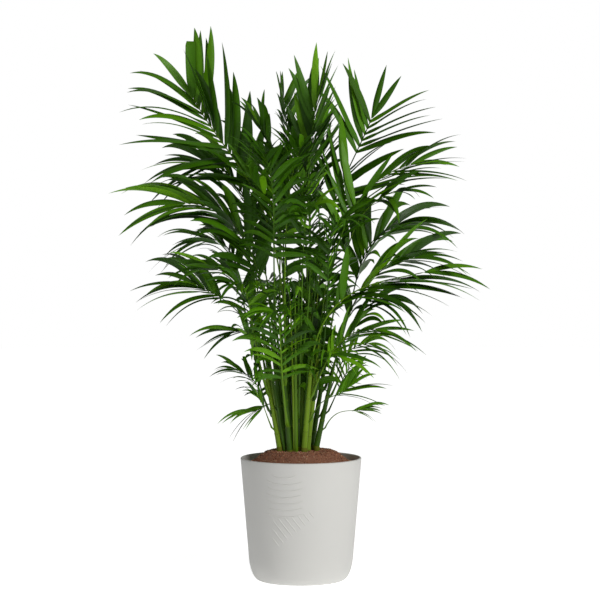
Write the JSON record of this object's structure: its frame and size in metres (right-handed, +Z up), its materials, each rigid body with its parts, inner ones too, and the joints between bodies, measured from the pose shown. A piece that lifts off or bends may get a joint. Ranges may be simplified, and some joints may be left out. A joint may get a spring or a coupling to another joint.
{
  "type": "potted palm plant",
  "caption": "Clump-stemmed indoor palm with arching feather fronds, growing from coir in a plain tapered round pot.",
  "frame": {"origin": "centre of the pot's flat underside", "axes": "+Z up along the pot's axis, -Y towards the viewer of the picture, +X to that viewer's right"},
  "size_m": [0.7416, 0.5405, 1.1523],
  "materials": {
    "pot": "matte off-white",
    "soil": "rough brown coir",
    "stem": "satin yellow-green",
    "frond": "satin deep green"
  },
  "bodies": {
    "root": {"pot": "pot", "potting_soil": "soil", "stem_01": "stem", "stem_02": "stem", "stem_03": "stem", "stem_04": "stem", "stem_05": "stem", "stem_06": "stem", "stem_07": "stem", "stem_08": "stem", "stem_09": "stem", "stem_10": "stem", "stem_11": "stem", "stem_12": "stem", "stem_13": "stem", "stem_14": "stem", "frond_01": "frond", "frond_02": "frond", "frond_03": "frond", "frond_04": "frond", "frond_05": "frond", "frond_06": "frond", "frond_07": "frond", "frond_08": "frond", "frond_09": "frond", "frond_10": "frond", "frond_11": "frond", "frond_12": "frond", "frond_13": "frond", "frond_14": "frond", "frond_15": "frond", "frond_16": "frond", "frond_17": "frond", "frond_18": "frond", "frond_19": "frond", "frond_20": "frond", "frond_21": "frond", "frond_22": "frond", "frond_23": "frond", "frond_24": "frond", "frond_25": "frond", "frond_26": "frond", "frond_27": "frond", "frond_28": "frond", "frond_29": "frond", "frond_30": "frond", "frond_31": "frond", "frond_32": "frond", "frond_33": "frond", "frond_34": "frond", "frond_35": "frond", "frond_36": "frond", "frond_37": "frond", "frond_38": "frond", "frond_39": "frond", "frond_40": "frond", "frond_41": "frond", "frond_42": "frond", "frond_43": "frond", "frond_44": "frond"}
  },
  "joints": []
}
